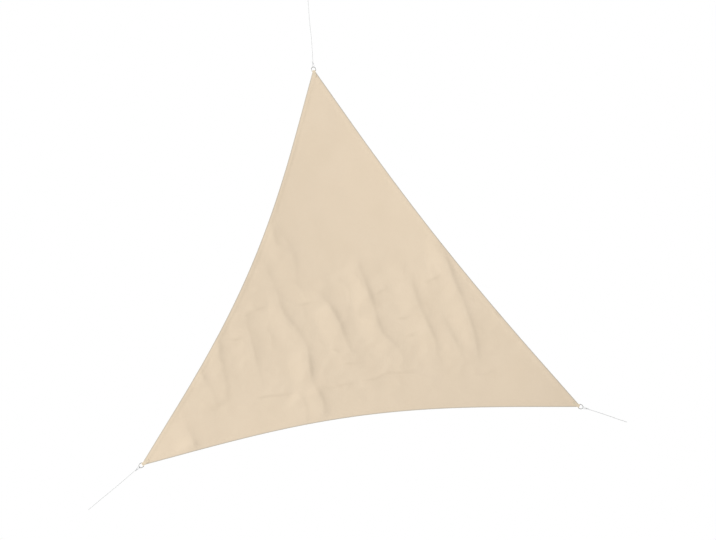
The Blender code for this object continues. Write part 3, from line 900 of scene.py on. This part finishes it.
woven_polyester, tree, shader = new_material(
    "woven_polyester", Roughness=0.85, IOR=1.57, Sheen_Weight=0.12, Sheen_Roughness=0.5
)
flat_map = add(tree, "UVMap", {"uv_map": "cloth_metres"})
place_in = add(tree, "SeparateXYZ", Vector=flat_map.outputs["UV"])
waves = []
for way in ("X", "Y"):
    turns = add(
        tree, "Math", TIMES, n_0=place_in.outputs[way], n_1=math.pi / THREAD
    )
    waves.append(add(tree, "Math", WAVE, n_0=turns.outputs[0]))
checker = add(tree, "Math", TIMES, n_0=waves[0].outputs[0], n_1=waves[1].outputs[0])
streaks = []
for stretch in ((STREAKS, STREAK_ENDS, 1.0), (STREAK_ENDS, STREAKS, 1.0)):
    drawn = add(tree, "Mapping", Vector=flat_map.outputs["UV"], Scale=stretch)
    streaks.append(add(tree, "TexNoise", Vector=drawn.outputs[0], Scale=1.0, Detail=2.0))
slub = add(tree, "Math", PLUS, n_0=streaks[0].outputs["Fac"], n_1=streaks[1].outputs["Fac"])
clouds = add(tree, "TexNoise", Vector=flat_map.outputs["UV"], Scale=3.5, Detail=5.0)
tint = add(
    tree,
    "Math",
    TIMES_PLUS,
    n_0=slub.outputs[0],
    n_1=0.30,
    n_2=add(tree, "MapRange", Value=clouds.outputs["Fac"], To_Min=0.1, To_Max=0.6).outputs[0],
)
sand = add(
    tree, "Mix", COLOURS, n_0=tint.outputs[0], n_6=light_of(CLOTH_SHADE), n_7=light_of(CLOTH_SAND)
)
how_deep = add(tree, "Attribute", {"attribute_name": "depth"})
# Painted shade: the outer centimetre, where the hem rolls over, is painted grey.
edge_shade = add(
    tree,
    "MapRange",
    Value=how_deep.outputs["Fac"],
    From_Min=0.001,
    From_Max=0.011,
    To_Min=1.0,
    To_Max=0.0,
)
with_edge_shade = add(
    tree, "Mix", COLOURS, n_0=edge_shade.outputs[0], n_6=sand.outputs[2], n_7=light_of(EDGE_SHADE_GREY)
)
crease = add(tree, "Attribute", {"attribute_name": "crease"})
# Painted shade: the cloth is painted a little darker along each crease.
crease_shaded = add(
    tree,
    "Mix",
    COLOURS,
    n_0=add(
        tree, "Math", TIMES, n_0=crease.outputs["Fac"], n_1=CREASE_SHADE_SHARE
    ).outputs[0],
    n_6=with_edge_shade.outputs[2],
    n_7=light_of(CREASE_SHADE_BROWN),
)
weave = add(tree, "Math", TIMES_PLUS, n_0=slub.outputs[0], n_1=0.8, n_2=checker.outputs[0])
weave_bump = add(tree, "Bump", Strength=0.35, Distance=0.0002, Height=weave.outputs[0])
tree.links.new(crease_shaded.outputs[2], shader.inputs["Base Color"])
tree.links.new(weave_bump.outputs[0], shader.inputs["Normal"])
print("cloth material has", len(tree.nodes), "nodes")

# %% The sail
sail = new_piece("sail", in_room(skins, PLANE), shell, woven_polyester, sharp=50)
corner_ids = np.zeros(len(sail.data.loops), np.int64)
sail.data.loops.foreach_get("vertex_index", corner_ids)
lay_map(sail, "cloth_metres", skins[corner_ids, :2])
sail.data.attributes.new("depth", "FLOAT", "POINT").data.foreach_set(
    "value", np.tile(depth, 2).astype(np.float32)
)
sail.data.attributes.new("crease", "FLOAT", "POINT").data.foreach_set(
    "value", np.tile(crease_shade_mask(flat), 2).astype(np.float32)
)
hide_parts("sail_cloth")

# %% [markdown]
# ## Straps, rings and sewing
#
# A strap of flat webbing takes the pull of each corner. It is folded round the straight bar of a
# steel D-ring and sewn to both faces of the cloth with a box and a cross, the usual way to
# spread a pull over many stitches.

# %% Ring and strap values
WIRE_RADIUS = 0.0025
RING_HALF_WIDTH, RING_BAR, RING_BOW, RING_CORNER = 0.0175, -0.017, 0.016, 0.0035
STRAP_WIDTH, STRAP_THICK = 0.028, 0.0015
STRAP_END, STRAP_NECK, STRAP_WRAP = -0.078, -0.027, 95
tips = {name: corner_frame(name, tip_angle(name)) for name in CORNERS}


def arc(centre, radius, start, end, steps):
    """Points of an arc in the plane, its angles in degrees."""
    angles = np.radians(np.linspace(start, end, steps + 1))
    return [
        (centre[0] + radius * math.cos(angle), centre[1] + radius * math.sin(angle))
        for angle in angles
    ]


# %% [markdown]
# ### Stainless steel
#
# The rings are bent from drawn stainless wire and tumbled until they shine. Tumbling leaves fine
# random scratches, so the shine is broad and soft, with a slight change from place to place.

# %% Material: tumbled stainless steel
STEEL = "#ABABA7"

stainless_steel, tree, shader = new_material("tumbled_stainless_steel", Metallic=1.0)
shader.inputs["Base Color"].default_value = light_of(STEEL)
spot = add(tree, "TexCoord")
scratches = add(tree, "TexNoise", Vector=spot.outputs["Object"], Scale=1800.0, Detail=3.0)
worn = add(tree, "TexNoise", Vector=spot.outputs["Object"], Scale=160.0, Detail=2.0)
dullness = add(tree, "MapRange", Value=worn.outputs["Fac"], To_Min=0.16, To_Max=0.36)
scratch_bump = add(tree, "Bump", Strength=0.2, Distance=0.00003, Height=scratches.outputs["Fac"])
tree.links.new(dullness.outputs[0], shader.inputs["Roughness"])
tree.links.new(scratch_bump.outputs[0], shader.inputs["Normal"])
print("steel material has", len(tree.nodes), "nodes")

# %% D-rings
WIRE_SIDES, CORNER_STEPS, BOW_STEPS, BAR_STEPS = 24, 10, 48, 14
side = RING_HALF_WIDTH - RING_CORNER
turn_x = RING_BAR + RING_CORNER
path = arc((turn_x, -side), RING_CORNER, 180, 270, CORNER_STEPS)
path += arc((RING_BOW - RING_HALF_WIDTH, 0), RING_HALF_WIDTH, -90, 90, BOW_STEPS)
path += arc((turn_x, side), RING_CORNER, 90, 180, CORNER_STEPS)
path += [(RING_BAR, side * share) for share in np.linspace(1, -1, BAR_STEPS + 1)[1:-1]]
path = np.array([(x, y, 0.0) for x, y in path])
up, out = square_to(path, (0.0, 0.0, 1.0), closed=True)
around = np.linspace(0, 2 * np.pi, WIRE_SIDES, endpoint=False)
wire = WIRE_RADIUS * (
    np.cos(around)[None, :, None] * up[:, None] + np.sin(around)[None, :, None] * out[:, None]
)
ring_points = (path[:, None] + wire).reshape(-1, 3)
ring_faces = skin(len(path), WIRE_SIDES, closed=True)
for name in CORNERS:
    placed = in_room(ring_points, tips[name])
    new_piece(f"d_ring_{name}", placed, ring_faces, stainless_steel)
    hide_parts(f"ring_{name}")
print("ring", round(1000 * np.ptp(ring_points[:, 1]), 1), "mm wide outside")

# %% [markdown]
# ### Polyester webbing
#
# Webbing is woven narrow and thick, with a herringbone of ribs down its length and a firm round
# edge each side. It is dyed to match the cloth. The hollows between its ribs are painted a little
# deeper, as painted shade.

# %% Material: herringbone webbing
WEB_PALE, WEB_RIB_SHADE = "#EADBC4", "#DACAAE"
RIB = 0.0016

herringbone_webbing, tree, shader = new_material(
    "herringbone_webbing", Roughness=0.78, IOR=1.57, Sheen_Weight=0.12
)
strap_map = add(tree, "UVMap", {"uv_map": "strap_metres"})
place_in = add(tree, "SeparateXYZ", Vector=strap_map.outputs["UV"])
zigzag = add(
    tree, "Math", {"operation": "PINGPONG"}, n_0=place_in.outputs["Y"], n_1=STRAP_WIDTH / 8
)
slant = add(tree, "Math", PLUS, n_0=place_in.outputs["X"], n_1=zigzag.outputs[0])
rib_turns = add(tree, "Math", TIMES, n_0=slant.outputs[0], n_1=2 * math.pi / RIB)
rib_wave = add(tree, "Math", WAVE, n_0=rib_turns.outputs[0])
rib = add(tree, "MapRange", Value=rib_wave.outputs[0], From_Min=-1.0, From_Max=1.0)
# Painted shade: the hollows between the ribs are painted deeper than their crowns.
web_colour = add(
    tree, "Mix", COLOURS, n_0=rib.outputs[0], n_6=light_of(WEB_RIB_SHADE), n_7=light_of(WEB_PALE)
)
rib_bump = add(tree, "Bump", Strength=0.7, Distance=0.00025, Height=rib.outputs[0])
tree.links.new(web_colour.outputs[2], shader.inputs["Base Color"])
tree.links.new(rib_bump.outputs[0], shader.inputs["Normal"])
print("webbing material has", len(tree.nodes), "nodes")

# %% The run of a strap
STRAP_STEP, WRAP_STEPS = 0.0012, 24
WEB_OFF = 0.00005  # from the hem and the ring's wire
LEG = HEM_HALF + WEB_OFF + STRAP_THICK / 2

wrap_radius = WIRE_RADIUS + WEB_OFF + STRAP_THICK / 2
wrap = arc((RING_BAR, 0), wrap_radius, STRAP_WRAP, -STRAP_WRAP, WRAP_STEPS)
leg = (STRAP_END, -0.060, -0.042, STRAP_NECK)
run = [(x, LEG) for x in leg] + wrap + [(x, -LEG) for x in reversed(leg)]
run = evenly([(x, 0.0, z) for x, z in run], STRAP_STEP)
print("each strap is cut", round(1000 * STRAP_STEP * (len(run) - 1)), "mm long")

# %% Straps
FLAT_POINTS, EDGE_POINTS = 25, 6
flat_half = STRAP_WIDTH / 2 - STRAP_THICK / 2
section = [(y, STRAP_THICK / 2) for y in np.linspace(-flat_half, flat_half, FLAT_POINTS)]
section += arc((flat_half, 0), STRAP_THICK / 2, 90, -90, EDGE_POINTS)[1:-1]
section += [(y, -STRAP_THICK / 2) for y in np.linspace(flat_half, -flat_half, FLAT_POINTS)]
section += arc((-flat_half, 0), STRAP_THICK / 2, 270, 90, EDGE_POINTS)[1:-1]
section = np.array(section)
widths, heights = square_to(run, (0.0, 1.0, 0.0))
strap_points = (
    run[:, None] + section[None, :, :1] * widths[:, None] - section[None, :, 1:] * heights[:, None]
)
# Each flat end is closed by a row of faces, from the strap's left edge to its right one.
left_edge, half_way = len(section) - EDGE_POINTS // 2, len(section) // 2
top_side = [(left_edge + number) % len(section) for number in range(half_way + 1)]
low_side = [(left_edge - number) % len(section) for number in range(half_way + 1)]
end_faces = [
    tuple(dict.fromkeys(face)) for face in zip(top_side, top_side[1:], low_side[1:], low_side)
]
strap_faces = skin(len(run), len(section))[:-2]
strap_faces += [tuple(reversed(face)) for face in end_faces]
last = (len(run) - 1) * len(section)
strap_faces += [tuple(last + corner for corner in face) for face in end_faces]
strap_ids = np.concatenate([np.array(face) for face in strap_faces])
strap_flat = np.column_stack(
    [strap_ids // len(section) * STRAP_STEP, section[strap_ids % len(section), 0]]
)
straps = {}
for name in CORNERS:
    placed = in_room(strap_points.reshape(-1, 3), tips[name])
    straps[name] = new_piece(
        f"web_strap_{name}", placed, strap_faces, herringbone_webbing, sharp=60
    )
    lay_map(straps[name], "strap_metres", strap_flat)
    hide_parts(f"strap_{name}")

# %% [markdown]
# ### Sewing
#
# Stitches hold the hem and the straps. On real sewing each stitch is a short stretch of thread
# that comes up out of the cloth, lies on it and goes down again. Each one is a small lens of
# thread here. That is a real shape that casts a real shadow, at a few faces each, because there
# are thousands of them.

# %% Material: sewing thread
THREAD_SAND, THREAD_SHADE = "#E6D6BC", "#CDBB9C"

sewing_thread, tree, shader = new_material(
    "twisted_polyester_thread", Roughness=0.55, IOR=1.57, Sheen_Weight=0.1
)
spot = add(tree, "TexCoord")
ply = add(tree, "TexNoise", Vector=spot.outputs["Object"], Scale=900.0, Detail=1.0)
ply_tint = add(tree, "MapRange", Value=ply.outputs["Fac"], To_Min=0.85, To_Max=1.1)
thread_colour = add(
    tree,
    "Mix",
    COLOURS,
    n_0=ply_tint.outputs[0],
    n_6=light_of(THREAD_SHADE),
    n_7=light_of(THREAD_SAND),
)
tree.links.new(thread_colour.outputs[2], shader.inputs["Base Color"])
print("thread material has", len(tree.nodes), "nodes")

# %% Stitches
STITCH_SIDES = 5
STITCH_ROWS = ((0.18, 0.85), (0.5, 1.0), (0.82, 0.85))  # along a stitch, and its share of width
THREAD_RADIUS = 0.00045
SUNK, RAISED = 0.6, 0.4  # how far a stitch's ends dip and its middle rises, in radii


def stitches(name, starts, ends, up):
    """One piece of thread for all stitches between these points, raised along up."""
    count = len(starts)
    along = ends - starts
    length = np.linalg.norm(along, axis=1)[:, None]
    sideways = np.cross(up, along / length)
    sideways /= np.linalg.norm(sideways, axis=1)[:, None]
    rows = [(starts - up * THREAD_RADIUS * SUNK)[:, None]]
    around = np.linspace(0, 2 * np.pi, STITCH_SIDES, endpoint=False)
    for share, width in STITCH_ROWS:
        middle = starts + along * share + up * THREAD_RADIUS * RAISED * (width - 0.5)
        ring = THREAD_RADIUS * width * np.cos(around)[None, :, None] * sideways[:, None]
        ring = ring + THREAD_RADIUS * width * np.sin(around)[None, :, None] * up[:, None]
        rows.append(middle[:, None] + ring)
    rows.append((ends - up * THREAD_RADIUS * SUNK)[:, None])
    points = np.concatenate(rows, axis=1)
    one, last = [], len(STITCH_ROWS) * STITCH_SIDES + 1
    for side in range(STITCH_SIDES):
        beside = (side + 1) % STITCH_SIDES
        one.append((0, 1 + beside, 1 + side))
        one.append((last, last - STITCH_SIDES + side, last - STITCH_SIDES + beside))
        for row in range(len(STITCH_ROWS) - 1):
            here, ahead = 1 + row * STITCH_SIDES, 1 + (row + 1) * STITCH_SIDES
            one.append((here + side, here + beside, ahead + beside))
            one.append((here + side, ahead + beside, ahead + side))
    faces = (np.array(one)[None] + (np.arange(count) * (last + 1))[:, None, None]).reshape(-1, 3)
    return new_piece(name, points.reshape(-1, 3), faces.tolist(), sewing_thread, sharp=80)


# %% Hem stitches
HEM_PITCH, STITCH_SHARE = 0.006, 0.8  # real stitches are 4 mm, drawn half as long again

starts, ends = [], []
for number, edge in enumerate(EDGES):
    shares = row_inside(number, SEAM_DEPTH, HEM_PITCH)
    step = (shares[1] - shares[0]) * STITCH_SHARE
    starts += [edge_point(edge, share, SEAM_DEPTH) for share in shares[:-1]]
    ends += [edge_point(edge, share + step, SEAM_DEPTH) for share in shares[:-1]]
starts, ends = np.array(starts), np.array(ends)
at_seam, hem_pieces = np.full(len(starts), SEAM_DEPTH), []
for way, word, step in ((1, "above", STEP_ABOVE), (-1, "below", STEP_BELOW)):
    seam_half = half_thickness(at_seam, step)
    up = np.array(PLANE.to_3x3())[:, 2] * way
    first = in_room(np.column_stack([starts, sheet_height(starts) + way * seam_half]), PLANE)
    second = in_room(np.column_stack([ends, sheet_height(ends) + way * seam_half]), PLANE)
    ups = np.tile(up, (len(starts), 1))
    hem_pieces.append(stitches(f"hem_stitches_{word}", first, second, ups))
print(2 * len(starts), "hem stitches")

# %% Strap stitches
BOX = (-0.0745, -0.0375, 0.0105)  # where the box starts and ends, and half its width
STRAP_PITCH = 0.0032
near, far_end, half_box = BOX
box_lines = [
    ((near, -half_box), (far_end, -half_box)),
    ((far_end, -half_box), (far_end, half_box)),
    ((far_end, half_box), (near, half_box)),
    ((near, half_box), (near, -half_box)),
    ((near, -half_box), (far_end, half_box)),
    ((near, half_box), (far_end, -half_box)),
]
starts, ends = [], []
for a, b in box_lines:
    a, b = np.array(a), np.array(b)
    count = round(np.linalg.norm(b - a) / STRAP_PITCH)
    for number in range(count):
        starts.append(a + (b - a) * number / count)
        ends.append(a + (b - a) * (number + STITCH_SHARE) / count)
starts, ends = np.array(starts), np.array(ends)
for name in CORNERS:
    for way, word in ((1, "above"), (-1, "below")):
        height = np.full((len(starts), 1), way * (LEG + STRAP_THICK / 2))
        up = np.array(tips[name].to_3x3())[:, 2] * way
        ups = np.tile(up, (len(starts), 1))
        first, second = (in_room(np.hstack([at, height]), tips[name]) for at in (starts, ends))
        stitches(f"strap_stitches_{name}_{word}", first, second, ups)
print(6 * len(starts), "strap stitches")
